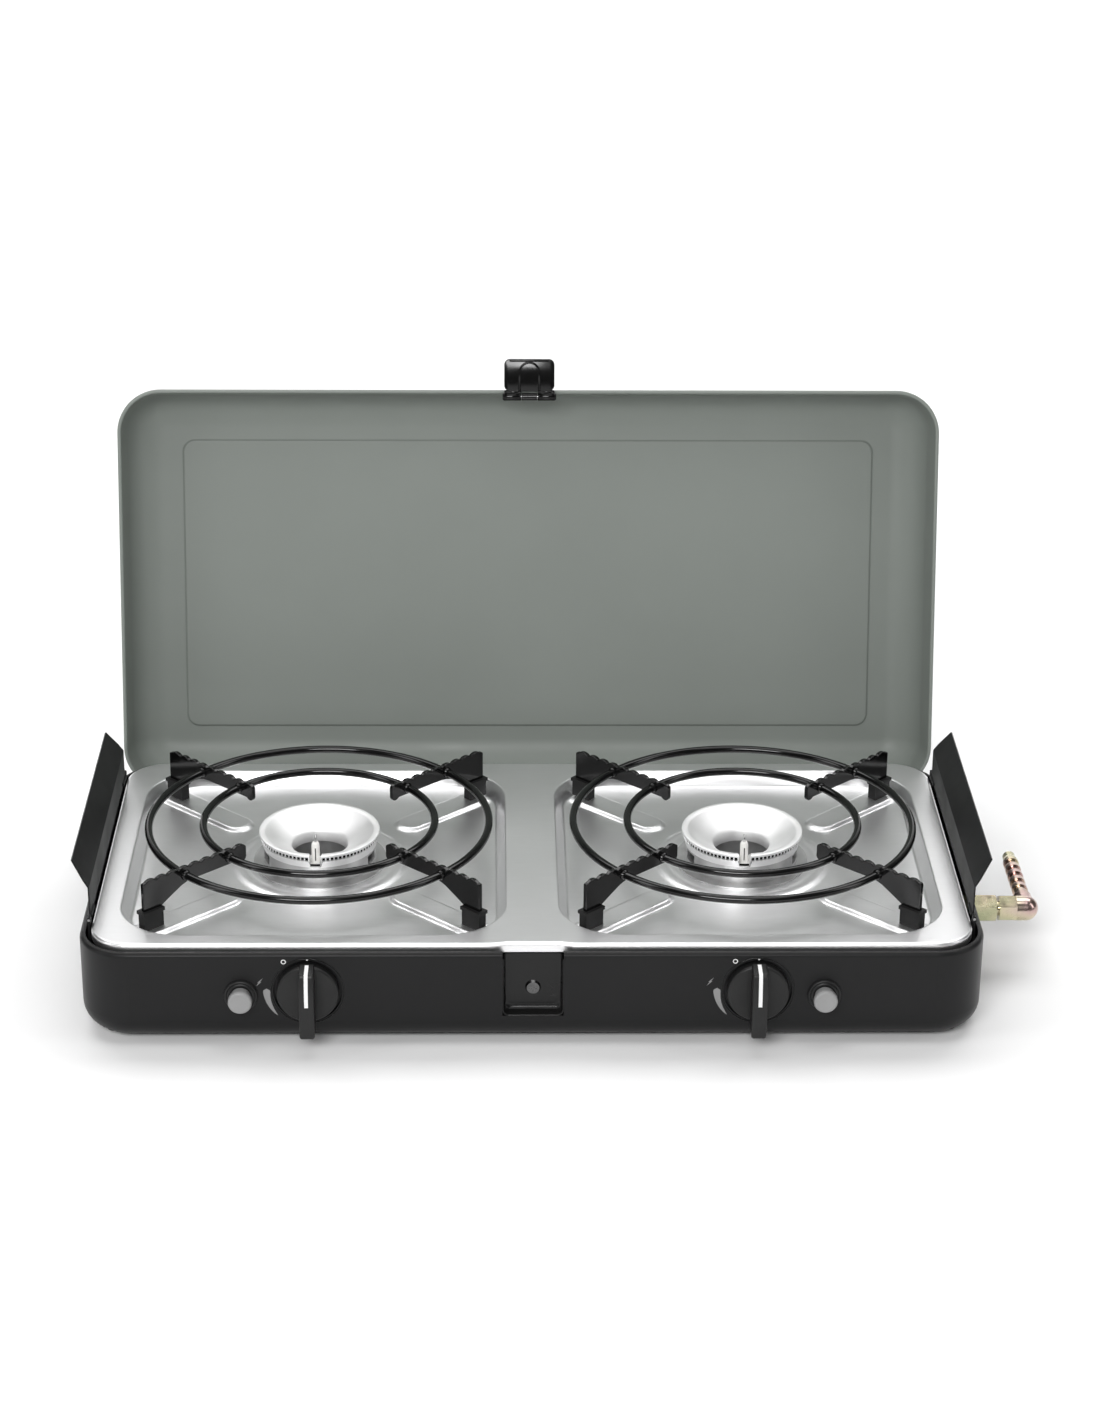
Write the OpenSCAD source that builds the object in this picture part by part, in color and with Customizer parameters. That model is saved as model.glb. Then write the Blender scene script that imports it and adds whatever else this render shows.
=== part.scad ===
// Two-burner camping gas stove with fold-up lid, side wind shields and lift-out pan supports.
// Millimetres, +Z up, the front panel faces -Y, the stove stands on z = 0.

/* [Base] */
// width of the base shell
base_w = 600; // [590:1:620]
// depth of the base shell
base_d = 290; // [286:1:291]
// corner radius of the base shell seen from above
base_r = 34; // [30:1:36]
// sheet thickness of the base shell
wall = 1.2; // [1:0.1:1.4]
// height of the rubber feet below the shell
foot_h = 4; // [3:0.5:5]

/* [Hob] */
// height of the stainless hob rim above the table
hob_z = 73.8; // [73.5:0.1:74.2]
// depth of the two wells under the hob rim
well_d = 10; // [9.5:0.1:10.2]

/* [Burners] */
// distance of each burner from the middle
burner_x = 146.5; // [146:0.5:147]
// radius of the burner rim
burner_r = 42; // [40:0.5:42]

/* [Pan supports] */
// mean radius of the outer ring
ring_r = 117.3; // [116:0.1:118]
// mean radius of the inner ring
ring_ri = 79.8; // [78:0.1:81]
// wire radius of both rings
wire_r = 2.75; // [2.5:0.05:2.9]
// height of the top of the arms above the table
arm_z = 101.5; // [101:0.5:102]

/* [Lid] */
// width of the lid
lid_w = 598; // [597:0.5:598]
// how far the lid is opened, in degrees
lid_open = 104; // [0:1:104]
// radius of the bend between the lid's walls and its top
lid_fillet = 27; // [24:1:28]

/* [Controls] */
// distance of each knob from the middle
knob_x = 148; // [147:0.5:149]
// knob skirt radius
knob_r = 20.5; // [19:0.5:21]
// distance of each igniter button from the middle
piezo_x = 192; // [191:0.5:194]

/* [View] */
// node to draw

/* [Hidden] */
$fn = 64;
off_x = 22.59;
off_y = 45.45;
z0 = foot_h;                 // underside of the shell
rim_z = 70;                  // top of the base rim
rb = 17;                     // bottom edge radius of the shell
hx = 292; hy = 138.7;        // half size of the hob rim
hob_t = 1;
wx = 129.7; wy = 125.9;      // half size of a well at the top
wr = 44;                     // well corner radius
floor_z = hob_z - well_d;    // top of the well floor
lid_d = 296; lid_r = 32; lid_cy = 2; lid_z = 70.4; lid_t = 1.2;
hp_y = 140.25; hp_z = 59.2;  // lid hinge axis
lp_y = -141.5; lp_z = 67.9;  // latch axis, lid closed
sp_x = 293.8; sp_z = 76.5;     // wind shield pivot
ring_z = 95;
kz = 42.6;                   // height of the knob axes
pz = 39.5;                   // height of the igniter axes
in_y = -33; in_z = 44;       // gas inlet axis
phi = 42.7;                  // direction of the pan support arms

module place() translate([-off_x, -off_y, 0]) children();
module opened() translate([0, hp_y, hp_z]) rotate([-lid_open, 0, 0]) translate([0, -hp_y, -hp_z]) children();
module ycyl(r, y0, y1, x = 0, z = 0) translate([x, y1, z]) rotate([90, 0, 0]) cylinder(r = r, h = y1 - y0);
module xcyl(r, x0, x1, y = 0, z = 0) translate([x0, y, z]) rotate([0, 90, 0]) cylinder(r = r, h = x1 - x0);
module rrect(w, d, r) {
  square([w - 2 * r, d], center = true);
  square([w, d - 2 * r], center = true);
  for (i = [-1, 1], j = [-1, 1]) translate([i * (w / 2 - r), j * (d / 2 - r)]) circle(r);
}
// a wall profile (x measured from the corner centre) carried round a rounded rectangle
module rim_corner(w, d, r, i, j, a) translate([i * (w / 2 - r), j * (d / 2 - r), 0]) rotate([0, 0, a]) rotate_extrude(angle = 90) children();
module around(w, d, r) {
  rim_corner(w, d, r, 1, 1, 0) children();
  rim_corner(w, d, r, -1, 1, 90) children();
  rim_corner(w, d, r, -1, -1, 180) children();
  rim_corner(w, d, r, 1, -1, 270) children();
  for (j = [-1, 1]) translate([-j * (w / 2 - r), j * (d / 2 - r), 0]) rotate([90, 0, j * 90]) linear_extrude(height = w - 2 * r) children();
  for (i = [-1, 1]) translate([i * (w / 2 - r), i * (d / 2 - r), 0]) rotate([90, 0, (i - 1) * 90]) linear_extrude(height = d - 2 * r) children();
}

module base_profile() {
  translate([base_r - wall, z0 + rb]) square([wall, rim_z - 3 - z0 - rb]);
  translate([base_r - rb, z0 + rb]) intersection() {
    difference() { circle(rb); circle(rb - wall); }
    translate([0, -rb]) square([rb, rb]);
  }
  translate([0, z0]) square([base_r - rb, wall]);
  translate([base_r - 3, rim_z - 3]) intersection() {
    difference() { circle(3); circle(3 - wall); }
    square([3, 3]);
  }
  translate([base_r - 3.8, rim_z - wall]) square([0.8, wall]);
}
module knob_cup(s) {
  difference() {
    ycyl(23.9, -145, -140.8, s * knob_x, kz);
    ycyl(22.7, -146, -142, s * knob_x, kz);
    ycyl(8, -146, -139, s * knob_x, kz);
  }
}
module base_shell() color("#242425") place() difference() {
  union() {
    difference() {
      union() {
        around(base_w, base_d, base_r) base_profile();
        translate([0, 0, z0]) linear_extrude(height = wall) square([base_w - 2 * base_r, base_d - 2 * base_r], center = true);
      }
      // latch pocket opening
      translate([-20.2, -150, 23.6]) cube([40.4, 12, 60]);
      for (s = [-1, 1]) ycyl(23.9, -150, -140, s * knob_x, kz);
    }
    for (s = [-1, 1]) knob_cup(s);
    // latch pocket
    translate([-20.2 - wall, -143.8, 22.4]) cube([wall, 8.5, 44]);
    translate([20.2, -143.8, 22.4]) cube([wall, 8.5, 44]);
    translate([-20.2, -136.5, 22.4]) cube([40.4, wall, 42.6]);
    translate([-20.2, -143.8, 22.4]) cube([40.4, 7.3, wall]);
  }
  for (s = [-1, 1]) {
    ycyl(8.1, -146, -143, s * piezo_x, pz);
    // slots for the lid hinge arms
    translate([s * 200 - 9, 139, 51.5]) cube([18, 12, 32]);
    // floor vents
    for (a = [0:60:359]) translate([s * 146.5 + 30 * cos(a), 30 * sin(a), 0]) cylinder(r = 5, h = 10);
  }
  xcyl(6.4, 296, 303, in_y, in_z);
  ycyl(2.1, -138, -134, 0, 41);
}

module hob_edge_profile() {
  // down-turned flange with a rounded top edge, corner radius 27
  translate([26, 66.5]) square([1, hob_z - 66.5 - 2.2]);
  translate([24.8, hob_z - 2.2]) intersection() {
    difference() { circle(2.2); circle(1.2); }
    square([2.2, 2.2]);
  }
  translate([0, hob_z - 1]) square([24.8, 1]);
}
module well_profile() {
  // sloped wall, down to the edge of the floor
  polygon([[wr, hob_z - 1], [wr, hob_z], [wr - 1.1, hob_z], [wr - 7.4, floor_z], [wr - 8.4, floor_z], [wr - 8.4, floor_z - 1], [wr - 7.9, floor_z - 1], [wr - 1.6, hob_z - 1]]);
}
// the pressed hob is one sheet, kept as a deck, two well walls and two well floors
module hob_wall(s) color("#c9cbcc") place() translate([s * burner_x, 0, 0]) around(2 * wx, 2 * wy, wr) well_profile();
module hob_wall_left() hob_wall(-1);
module hob_wall_right() hob_wall(1);
module hob_floor(s) color("#c9cbcc") place() translate([s * burner_x, 0, 0]) difference() {
  union() {
    translate([0, 0, floor_z - 1]) linear_extrude(height = 1) rrect(2 * (wx - 8.4), 2 * (wy - 8.4), wr - 8.4);
    // raised seat round the burner
    translate([0, 0, floor_z - 0.5]) cylinder(r = 59.4, h = 1.7);
    // diagonal ribs that the pan support feet stand on
    translate([0, 0, floor_z - 0.5]) linear_extrude(height = 2.7) intersection() {
      rrect(2 * (wx - 8.4), 2 * (wy - 8.4), wr - 8.4);
      for (i = [-1, 1], j = [-1, 1]) rotate(atan2(j * sin(phi), i * cos(phi))) { translate([84, 0]) circle(11); translate([84, -11]) square([66, 22]); }
    }
  }
  translate([0, 0, floor_z - 3]) cylinder(r = 40, h = 10);
  translate([-1, -46, floor_z - 3]) cylinder(r = 2, h = 10);
}
module hob_floor_left() hob_floor(-1);
module hob_floor_right() hob_floor(1);
module hob_plate() color("#c9cbcc") place() {
  difference() {
    union() {
      around(2 * hx, 2 * hy, 27) hob_edge_profile();
      translate([0, 0, hob_z - 1]) linear_extrude(height = 1) square([2 * (hx - 27), 2 * (hy - 27)], center = true);
    }
    for (s = [-1, 1]) translate([s * burner_x, 0, hob_z - 3]) linear_extrude(height = 6) rrect(2 * wx, 2 * wy, wr);
    // the front edge steps back over the latch pocket
    translate([-24, -142, 60]) cube([48, 5.3, 20]);
  }
  difference() {
    translate([-24, -136.7, 66.5]) cube([48, 1, hob_z - 66.5]);
    translate([-30, -137.7, hob_z]) cube([60, 3, 3]);
  }
  for (s = [-1, 1]) translate([s * 24 - 0.5, -138.2, 66.5]) cube([1, 1.5, hob_z - 66.5 - 1]);
}

module feet() color("#1b1b1c") place() for (i = [-1, 1], j = [-1, 1]) translate([i * 279, j * 117, 0]) {
  cylinder(r1 = 6, r2 = 6.6, h = z0 - 1);
  translate([0, 0, z0 - 1.01]) cylinder(r = 6.6, h = 1.01);
}
module foot_screws() color("#8f9296") place() for (i = [-1, 1], j = [-1, 1]) translate([i * 279, j * 117, z0 + wall]) difference() {
  cylinder(r = 3.2, h = 2);
  translate([-0.5, -2, 1.2]) cube([1, 4, 2]);
}

module burner_head(s) color("#d6d7d8") place() translate([s * burner_x, 0, 0]) difference() {
  rotate_extrude() polygon([[19.4, 70], [22, 70], [22, 76.5], [37, 84.2], [37, 79], [39.5, 79], [40.6, 86.6], [burner_r, 87.4],
    [burner_r, 88.7], [burner_r - 0.5, 89.2], [38.6, 89.2], [37.4, 88.2], [21.4, 78.6], [19.4, 77.6]]);
  translate([-1, -33, 60]) cylinder(r = 3.2, h = 60);
}
module burner_head_left() burner_head(-1);
module burner_head_right() burner_head(1);
module burner_body(s) color("#b9bbbd") place() translate([s * burner_x, 0, 0]) difference() {
  union() {
    rotate_extrude() polygon([[26, 33], [26, 62.8], [39.5, 62.8], [39.5, floor_z + 1.2], [46, floor_z + 1.2], [46, floor_z + 2.7], [39, floor_z + 2.7],
      [38.6, 79], [36.6, 79], [36.6, 69], [24, 69], [24, 35], [0, 35], [0, 33]]);
    // three webs carry the inner throat
    for (a = [30, 150, 270]) rotate([0, 0, a]) translate([21, -1.5, 55]) cube([4, 3, 15]);
  }
  // air windows under the ports
  for (a = [20, 160, 200, 340]) rotate([0, 0, a]) translate([30, -6, 70.5]) cube([14, 12, 6.5]);
  translate([-1, -33, 30]) cylinder(r = 3.2, h = 60);
  ycyl(7.4, -40, -10, 0, kz);
}
module burner_body_left() burner_body(-1);
module burner_body_right() burner_body(1);
module burner_screws() color("#8f9296") place() for (s = [-1, 1], a = [60, 120]) translate([s * burner_x + 43 * cos(a), 43 * sin(a), floor_z + 2.7]) difference() {
  cylinder(r = 2.4, h = 1.4);
  translate([-0.4, -1.6, 0.8]) cube([0.8, 3.2, 2]);
}
module venturi_tubes() color("#a9abad") place() for (s = [-1, 1]) translate([s * burner_x, 0, 0]) difference() {
  union() {
    ycyl(9, -92, -26.6, 0, kz);
    translate([0, -92, kz]) rotate([90, 0, 0]) cylinder(r1 = 9, r2 = 11, h = 4);
  }
  ycyl(7.4, -97, -20, 0, kz);
  cylinder(r = 26, h = 100);
}
module injectors() color("#b08d4a") place() for (s = [-1, 1]) translate([s * knob_x, 0, 0]) difference() {
  union() {
    translate([0, -105, kz]) rotate([-90, 0, 0]) cylinder(r = 4.6, h = 3, $fn = 6);
    ycyl(3, -102, -98, 0, kz);
  }
  ycyl(0.4, -110, -90, 0, kz);
}
module valve_bodies() color("#b08d4a") place() for (s = [-1, 1]) translate([s * knob_x, 0, 0]) difference() {
  union() {
    ycyl(9, -138, -108, 0, kz);
    ycyl(6, -108.01, -105, 0, kz);
    translate([-8, -130, 20]) cube([16, 16, 20]);
  }
  ycyl(3.05, -139, -122, 0, kz);
  ycyl(1.5, -123, -104, 0, kz);
  translate([0, -122, 26]) xcyl(4, -20, 20);
}
module valve_stem(s) color("#c2c4c6") place() translate([s * knob_x, 0, 0]) difference() {
  ycyl(3, -158, -123, 0, kz);
  translate([-4, -159, kz + 2]) cube([8, 17, 4]);
}
module valve_stem_left() valve_stem(-1);
module valve_stem_right() valve_stem(1);
module gas_pipe() color("#a7a9ab") place() difference() {
  union() {
    xcyl(4, -160, 258, -122, 26);
    translate([258, -110, 26]) rotate([0, 0, -90]) rotate_extrude(angle = 90) translate([12, 0]) circle(4);
    ycyl(4, -110, -41, 270, 26);
  }
  xcyl(2.8, -158, 258, -122, 26);
}
module inlet_block() color("#b08d4a") place() difference() {
  translate([262, -41, 18]) cube([16, 16, 34]);
  ycyl(4, -42, -34, 270, 26);
  translate([270, -34, 26]) cylinder(r = 2.8, h = 18);
  xcyl(2.8, 270, 280, in_y, in_z);
}
module inlet_stub() color("#c6a45c") place() difference() {
  union() { xcyl(6, 278, 304, in_y, in_z); translate([295.3, in_y, in_z]) rotate([0, 90, 0]) cylinder(r = 10, h = 3.4, $fn = 6); xcyl(8.4, 300, 303, in_y, in_z); }
  xcyl(2.8, 277, 305, in_y, in_z);
}
module inlet_nut() color("#d3b56a") place() intersection() {
  difference() {
    translate([304, in_y, in_z]) rotate([0, 90, 0]) cylinder(r = 10.2, h = 17, $fn = 6);
    xcyl(5.2, 303, 322, in_y, in_z);
  }
  union() {
    translate([304, in_y, in_z]) rotate([0, 90, 0]) cylinder(r1 = 9.2, r2 = 10.6, h = 2.4);
    xcyl(10.6, 306.4, 318.6, in_y, in_z);
    translate([318.6, in_y, in_z]) rotate([0, 90, 0]) cylinder(r1 = 10.6, r2 = 9.2, h = 2.4);
  }
}
module hose_elbow() color("#d3b56a") place() difference() {
  union() {
    xcyl(5.2, 306, 324, in_y, in_z);
    translate([323, in_y, in_z]) rotate([0, 90, 0]) cylinder(r = 9.6, h = 12, $fn = 6);
    xcyl(8.6, 335, 342, in_y, in_z);
    translate([342, in_y, in_z]) sphere(r = 8.6);
    ycyl(6.4, in_y, -18, 342, in_z);
    ycyl(4.4, -18, 45, 342, in_z);
    for (k = [0:4]) {
      ycyl(5.5, -8 + k * 10, -4 + k * 10, 342, in_z);
      translate([342, -4 + k * 10, in_z]) rotate([-90, 0, 0]) cylinder(r1 = 5.5, r2 = 4.4, h = 4);
    }
  }
  xcyl(2.8, 305, 342, in_y, in_z);
  ycyl(2.8, in_y, 46, 342, in_z);
}

module piezo_bodies() color("#2a2a2b") place() for (s = [-1, 1]) difference() {
  union() { ycyl(8, -143.8, -98, s * piezo_x, pz); ycyl(5, -98.01, -90, s * piezo_x, pz); }
  ycyl(6.6, -145, -120, s * piezo_x, pz);
}
module piezo_bezels() color("#202021") place() for (s = [-1, 1]) difference() {
  union() { ycyl(11.2, -146.2, -145, s * piezo_x, pz); translate([s * piezo_x, -146.2, pz]) rotate([90, 0, 0]) cylinder(r1 = 11.2, r2 = 10.2, h = 1); ycyl(8.1, -145.01, -143.8, s * piezo_x, pz); }
  ycyl(6.6, -148, -142, s * piezo_x, pz);
}
module piezo_nuts() color("#3a3a3c") place() for (s = [-1, 1]) difference() {
  translate([s * piezo_x, -139.4, pz]) rotate([90, 0, 0]) cylinder(r = 12.4, h = 4.4, $fn = 6);
  ycyl(8, -145, -138, s * piezo_x, pz);
}
module piezo_button(s) color("#8c8d8f") place() {
  ycyl(6.5, -152, -131, s * piezo_x, pz);
  ycyl(7.9, -155.8, -151.99, s * piezo_x, pz);
  translate([s * piezo_x, -155.79, pz]) rotate([90, 0, 0]) cylinder(r1 = 7.9, r2 = 7.2, h = 0.8);
}
module piezo_button_left() piezo_button(-1);
module piezo_button_right() piezo_button(1);
module electrode_ceramics() color("#eceae4") place() for (s = [-1, 1]) translate([s * burner_x - 1, -33, 0]) {
  translate([0, 0, 56]) cylinder(r = 2.8, h = 38);
  translate([0, 0, 93.99]) cylinder(r1 = 2.8, r2 = 2, h = 2);
}
module electrode_tips() color("#8a8c8e") place() for (s = [-1, 1]) translate([s * burner_x - 1, -33, 0]) {
  translate([0, 0, 95.99]) cylinder(r = 0.8, h = 4.5);
}
module lead(s) {
  xs = s * piezo_x; xe = s * burner_x - 1;
  ycyl(1.2, -90, -39, xs, pz);
  translate([xs, -39, pz + 6]) rotate([0, 90, 0]) rotate_extrude(angle = 90) translate([6, 0]) circle(1.2);
  translate([xs, -33, pz + 6]) cylinder(r = 1.2, h = 3.1);
  translate([xs - s * 6, -33, pz + 9.1]) rotate([90, 0, s > 0 ? 0 : 180]) rotate_extrude(angle = 90) translate([6, 0]) circle(1.2);
  xcyl(1.2, min(xe, xs - s * 6), max(xe, xs - s * 6), -33, pz + 15.1);
  translate([xe, -33, 53.2]) cylinder(r = 2.2, h = 2.8);
}
module ignition_leads() color("#1d1d1e") place() { lead(-1); lead(1); }

module catch_screw() color("#a9acb0") place() difference() {
  union() {
    translate([0, -136.9, 41]) rotate([90, 0, 0]) cylinder(r1 = 5.2, r2 = 4.2, h = 1.7);
    ycyl(2.1, -137, -128, 0, 41);
  }
  translate([-0.6, -140, 41 - 2.6]) cube([1.2, 2.2, 5.2]);
  translate([-2.6, -140, 41 - 0.6]) cube([5.2, 2.2, 1.2]);
}
module catch_washer() color("#8f9296") place() difference() {
  ycyl(5.6, -136.9, -136.5, 0, 41);
  ycyl(2.1, -138, -136, 0, 41);
}

module hinge_brackets() color("#3c3d3f") place() for (s = [-1, 1]) difference() {
  union() {
    for (e = [-1, 1]) translate([s * 200 + e * 10 - 1, 0, 0]) {
      xcyl(3.4, 0, 2, hp_y, hp_z);
      translate([0, hp_y - 3.4, hp_z - 20]) cube([2, 6.8, 20]);
    }
    translate([s * 200 - 11, 141.8, hp_z - 20]) cube([22, 2, 9]);
  }
  xcyl(2, s * 200 - 20, s * 200 + 20, hp_y, hp_z);
}
module hinge_pins() color("#9da0a3") place() for (s = [-1, 1]) xcyl(2, s * 200 - 12, s * 200 + 12, hp_y, hp_z);

module shield_brackets() color("#2c2c2d") place() for (s = [-1, 1], e = [0, 1]) {
  y0 = e ? 110.9 : -110.2;
  fw = (e ? 298.2 : 298.8) - sp_x - 1;
  difference() {
    union() {
      translate([s * sp_x - 1, y0, 50]) cube([2, 6, sp_z - 50]);
      translate([s < 0 ? -sp_x - 1 - fw : sp_x + 1, y0, 50]) cube([fw, 6, 8]);
      translate([s * sp_x, y0 + 3, sp_z]) intersection() {
        translate([-1, -3, -1.9]) cube([2, 6, 3.8]);
        ycyl(1.9, -3, 3);
      }
    }
    ycyl(0.9, y0 - 1, y0 + 7, s * sp_x, sp_z);
  }
}
module shield_pins() color("#9da0a3") place() for (s = [-1, 1]) {
  ycyl(0.9, -110.2, -92, s * sp_x, sp_z);
  ycyl(0.9, 98.7, 116.9, s * sp_x, sp_z);
}
module windshield(s) color("#2a2a2b") place() scale([s, 1, 1]) {
  a = atan2(11, 17.3); l = norm([11, 17.3]);
  difference() {
    union() {
      translate([sp_x - 0.5, -103.5, sp_z - 1.3]) cube([1, 213.7, 97.4 - sp_z + 1.3]);
      translate([sp_x, 0, 97.4]) rotate([0, a, 0]) translate([0.5, 0, 0]) rotate([0, -90, 0]) linear_extrude(height = 1)
        polygon([[0, -103.5], [0, 110.2], [6, 109.4], [l, 103.7], [l, -97], [6, -102.7]]);
      ycyl(0.5, -103.5, 110.2, sp_x, 97.4);
      for (y = [-103.5, 95.2]) ycyl(1.7, y, y + 15, sp_x, sp_z);
    }
    ycyl(0.95, -104.5, -87.5, sp_x, sp_z);
    ycyl(0.95, 94.2, 111.2, sp_x, sp_z);
  }
}
module windshield_left() windshield(-1);
module windshield_right() windshield(1);

module support_rings(s) color("#101011") place() translate([s * burner_x, 0, ring_z]) {
  rotate_extrude() translate([ring_r, 0]) circle(wire_r);
  rotate_extrude() translate([ring_ri, 0]) circle(wire_r);
}
module support_rings_left() support_rings(-1);
module support_rings_right() support_rings(1);
module arm_profile() difference() {
  polygon([[65.6, 91], [66.8, 89.2], [69, 88.6], [72, 90.2], [112, 90.2], [121, 88.6], [139.8, 78.5], [139.8, 69], [152.4, 69],
    [152.4, arm_z - 1.2], [151.4, arm_z], [66.6, arm_z], [65.6, arm_z - 1]]);
  for (k = [0:8]) translate([71.4 + k * 9.4, arm_z + 4.3]) circle(5.6);
}
module support_arms(s) color("#101011") place() difference() {
  for (i = [-1, 1], j = [-1, 1]) translate([s * burner_x, 0, 0]) rotate([0, 0, atan2(j * sin(phi), i * cos(phi))])
    translate([0, 1.5, 0]) rotate([90, 0, 0]) linear_extrude(height = 3) arm_profile();
  translate([s * burner_x, 0, ring_z]) {
    rotate_extrude() translate([ring_r, 0]) circle(wire_r);
    rotate_extrude() translate([ring_ri, 0]) circle(wire_r);
  }
}
module support_arms_left() support_arms(-1);
module support_arms_right() support_arms(1);
module support_boots(s) color("#1a1a1b") place() for (i = [-1, 1], j = [-1, 1]) translate([s * burner_x, 0, 0]) rotate([0, 0, atan2(j * sin(phi), i * cos(phi))]) difference() {
  union() {
    translate([138.2, -3.4, 66.05]) cube([15.6, 6.8, 13.15]);
    translate([137.4, -4.2, 77.2]) cube([17.2, 8.4, 2.4]);
    translate([153.2, 0, 66.05]) cylinder(r = 2.2, h = 2.6);
  }
  translate([139.8, -1.5, 69]) cube([12.6, 3, 20]);
  translate([0, 1.5, 0]) rotate([90, 0, 0]) linear_extrude(height = 3) polygon([[121, 88.6], [139.9, 78.446], [139.9, 90], [121, 90]]);
}
module support_boots_left() support_boots(-1);
module support_boots_right() support_boots(1);

module knob(s) color("#18181a") place() translate([s * knob_x, 0, kz]) difference() {
  union() {
    ycyl(knob_r, -148.6, -142.8);
    translate([0, -148.6, 0]) rotate([90, 0, 0]) cylinder(r1 = knob_r, r2 = knob_r - 1.6, h = 1.6);
    intersection() {
      translate([-5, -166, -27.2]) cube([10, 18, 48.8]);
      translate([0, 0, 0]) rotate([0, 90, 0]) translate([0, 0, -6]) linear_extrude(height = 12) intersection() {
        translate([-22.4, -166]) square([49.6, 18.4]);
        // the lower end is the longer one
        for (e = [0, 4.6]) translate([e, -107]) circle(62.6);
      }
    }
    ycyl(6.4, -142.81, -139.4);
  }
  ycyl(3, -158, -130);
}
module knob_left() knob(-1);
module knob_right() knob(1);
module pointer(s) color("#e8e8e6") place() translate([s * knob_x - 1.2, -166.25, kz - 1]) cube([2.4, 0.25, 20.5]);
module pointer_left() pointer(-1);
module pointer_right() pointer(1);

module lid_profile() {
  // x from the corner centre, y up from the rim plane
  sn = sin(7); cs = cos(7);
  f = lid_fillet; h1 = 21; dx = (h1 - 1.4) * sn / cs;
  cx = lid_r - 1.4 - dx - f * cs; cy = h1 - f * sn;
  translate([lid_r - 1.4, 1.4]) circle(1.4);
  polygon([[lid_r - 1.4, 1.4], [lid_r - 1.4 - dx, h1], [lid_r - 1.4 - dx - lid_t * cs, h1 - lid_t * sn], [lid_r - 1.4 - lid_t / cs, 1.4]]);
  translate([cx, cy]) intersection() {
    difference() { circle(f); circle(f - lid_t); }
    polygon([[0, 0], [2 * f * cs, 2 * f * sn], [2 * f, 2 * f], [0, 2 * f]]);
  }
  translate([0, cy + f - lid_t]) square([cx, lid_t]);
}
module lid() color("#7f877f") place() opened() translate([0, lid_cy, lid_z]) {
  f = lid_fillet; top = 21 - f * sin(7) + f;
  difference() {
    union() {
      around(lid_w, lid_d, lid_r) lid_profile();
      translate([0, 0, top - lid_t]) linear_extrude(height = lid_t) square([lid_w - 2 * lid_r, lid_d - 2 * lid_r], center = true);
      // panel pressed inwards
      translate([0, 0, top - lid_t - 1.2]) linear_extrude(height = lid_t + 0.2) rrect(511.4, 215.4, 9.2);
    }
    translate([0, 0, top - 1.2]) linear_extrude(height = 4) rrect(509, 213, 8);
  }
}
module latch_lug() color("#1c1c1d") place() opened() translate([-5.6, 0, 0]) difference() {
  union() {
    xcyl(2.8, 0, 11.2, lp_y, lp_z);
    rotate([90, 0, 90]) linear_extrude(height = 11.2) polygon([[-142.8, lp_z], [-142.8, 74.4], [-142.75, 76.4], [-141.8, 84], [-139.6, 84], [-138.7, 74], [-138.7, lp_z]]);
  }
  xcyl(1.5, -1, 13, lp_y, lp_z);
}
module latch_pin() color("#9da0a3") place() opened() xcyl(1.5, -18.6, 18.6, lp_y, lp_z);
module latch() color("#0f0f10") place() opened() difference() {
  union() {
    xcyl(3, -19.4, 19.4, lp_y, lp_z);
    translate([0, lp_y, lp_z - 2.5]) linear_extrude(height = 4.5) {
      translate([-18.2, -24.3]) square([36.4, 24.3]);
      translate([-15.2, -27.3]) square([30.4, 27.3]);
      for (i = [-1, 1]) translate([i * 15.2, -24.3]) circle(3);
    }
    // raised arch that sits over the catch screw
    translate([0, lp_y, lp_z - 3.3]) linear_extrude(height = 1) difference() {
      union() { translate([0, -12.6]) circle(8.2); translate([-8.2, -12.6]) square([16.4, 8.4]); }
      union() { translate([0, -12.6]) circle(6.4); translate([-6.4, -12.6]) square([12.8, 9.4]); }
    }
  }
  translate([-5.9, lp_y - 4.2, lp_z - 5]) cube([11.8, 10, 10]);
  xcyl(1.55, -20, 20, lp_y, lp_z);
}
module hinge_arm(s) difference() {
  union() {
    xcyl(3.4, s * 200 - 7, s * 200 + 7, hp_y, hp_z);
    translate([s * 200 - 7, 0, 0]) rotate([90, 0, 90]) linear_extrude(height = 14)
      polygon([[138.2, 60.5], [143.3, 57.8], [147.1, 71.2], [147.1, 73.4], [145.5, 86.5], [143.6, 86.5], [145.0, 74.5], [144.6, 72.2]]);
  }
  xcyl(2.05, s * 200 - 8, s * 200 + 8, hp_y, hp_z);
}
module hinge_arms() color("#8f9296") place() opened() { hinge_arm(-1); hinge_arm(1); }
module hinge_rivets() color("#9da0a3") place() opened() for (s = [-1, 1], e = [-4, 4]) translate([s * 200 + e, 144.22, 81]) rotate([96.654, 0, 0]) cylinder(r = 2, h = 1.2);

base_shell();
hob_plate();
hob_wall_left();
hob_wall_right();
hob_floor_left();
hob_floor_right();
feet();
foot_screws();
burner_head_left();
burner_head_right();
burner_body_left();
burner_body_right();
burner_screws();
venturi_tubes();
injectors();
valve_bodies();
valve_stem_left();
valve_stem_right();
gas_pipe();
inlet_block();
inlet_stub();
inlet_nut();
hose_elbow();
piezo_bodies();
piezo_bezels();
piezo_nuts();
piezo_button_left();
piezo_button_right();
electrode_ceramics();
electrode_tips();
ignition_leads();
catch_screw();
catch_washer();
hinge_brackets();
hinge_pins();
shield_brackets();
shield_pins();
windshield_left();
windshield_right();
support_rings_left();
support_rings_right();
support_arms_left();
support_arms_right();
support_boots_left();
support_boots_right();
knob_left();
knob_right();
pointer_left();
pointer_right();
lid();
latch_lug();
latch_pin();
latch();
hinge_arms();
hinge_rivets();
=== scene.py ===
import math
import bpy
import bmesh
from mathutils import Vector, Matrix


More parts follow.
